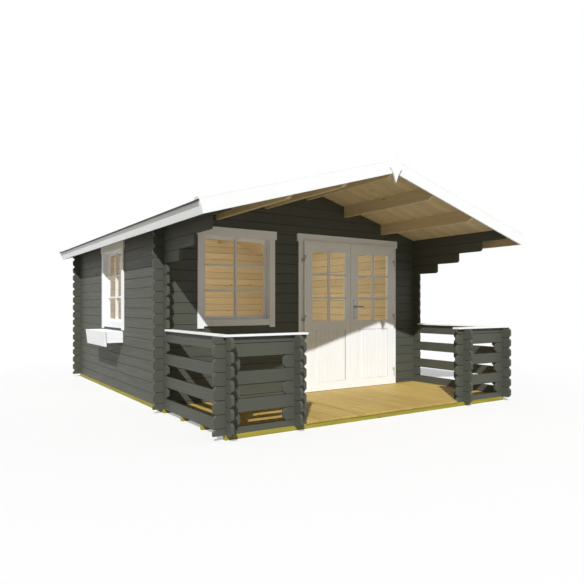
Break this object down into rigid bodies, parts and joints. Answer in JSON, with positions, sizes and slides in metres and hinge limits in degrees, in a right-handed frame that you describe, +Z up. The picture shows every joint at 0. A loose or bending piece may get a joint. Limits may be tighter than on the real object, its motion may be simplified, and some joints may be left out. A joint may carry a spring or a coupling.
{
  "type": "log cabin with covered terrace",
  "caption": "Log cabin with interlocking corners, a glazed double door, barred windows, a window box and a roofed terrace behind log railings.",
  "frame": {"origin": "centre of the overall box in plan, on the ground under the treated beams", "axes": "+X to the right along the front, +Y from the terrace to the back wall, +Z up"},
  "size_m": [4.3656, 5.559, 2.7409],
  "materials": {
    "log_paint": "dark grey-green opaque wood stain on planed logs, satin; bare pine inside",
    "white_paint": "white satin paint on planed timber",
    "bare_pine": "untreated planed spruce, matte",
    "deck_boards": "honey-coloured floor boards with small knots, matte",
    "treated_timber": "yellow-green pressure-treated timber, matte",
    "roof_felt": "black mineral roofing felt, rough",
    "glass": "clear float glass",
    "hinge_metal": "white-coated steel",
    "steel": "satin steel"
  },
  "bodies": {
    "cabin": {"side_beams": "treated_timber", "floor_joists": "treated_timber", "cabin_floor": "bare_pine", "terrace_floor": "deck_boards", "left_wall": "log_paint", "right_wall": "log_paint", "back_wall": "log_paint", "front_wall_left": "log_paint", "front_wall_right": "log_paint", "front_gable": "log_paint", "left_corbels": "log_paint", "right_corbels": "log_paint", "left_side_rail": "log_paint", "right_side_rail": "log_paint", "left_front_rail": "log_paint", "right_front_rail": "log_paint", "side_rail_caps": "white_paint", "front_rail_caps": "white_paint", "purlins": "bare_pine", "roof_boards_left": "bare_pine", "roof_boards_right": "bare_pine", "roof_felt": "roof_felt", "eave_boards": "white_paint", "bargeboards": "white_paint", "verge_strips": "white_paint", "finials": "white_paint", "front_window_trim": "white_paint", "front_window_frame": "white_paint", "front_window_sash": "white_paint", "front_window_glass": "glass", "side_window_trim": "white_paint", "side_window_frame": "white_paint", "side_window_sash": "white_paint", "side_window_glass": "glass", "window_box": "white_paint", "door_trim": "white_paint", "door_frame": "white_paint", "frame_hinges": "hinge_metal"},
    "left_door": {"left_door_leaf": "white_paint", "left_door_glass": "glass", "left_leaf_hinges": "hinge_metal"},
    "right_door": {"right_door_leaf": "white_paint", "right_door_glass": "glass", "right_leaf_hinges": "hinge_metal", "door_handle": "steel"}
  },
  "joints": [
    {"name": "left_door_hinge", "type": "hinge", "parent": "cabin", "child": "left_door", "pos_m": [-0.0835, -1.2495, 1.035], "axis": [0, 0, -1], "range_deg": [0, 165]},
    {"name": "right_door_hinge", "type": "hinge", "parent": "cabin", "child": "right_door", "pos_m": [1.4315, -1.2495, 1.035], "axis": [0, 0, 1], "range_deg": [0, 110]}
  ]
}
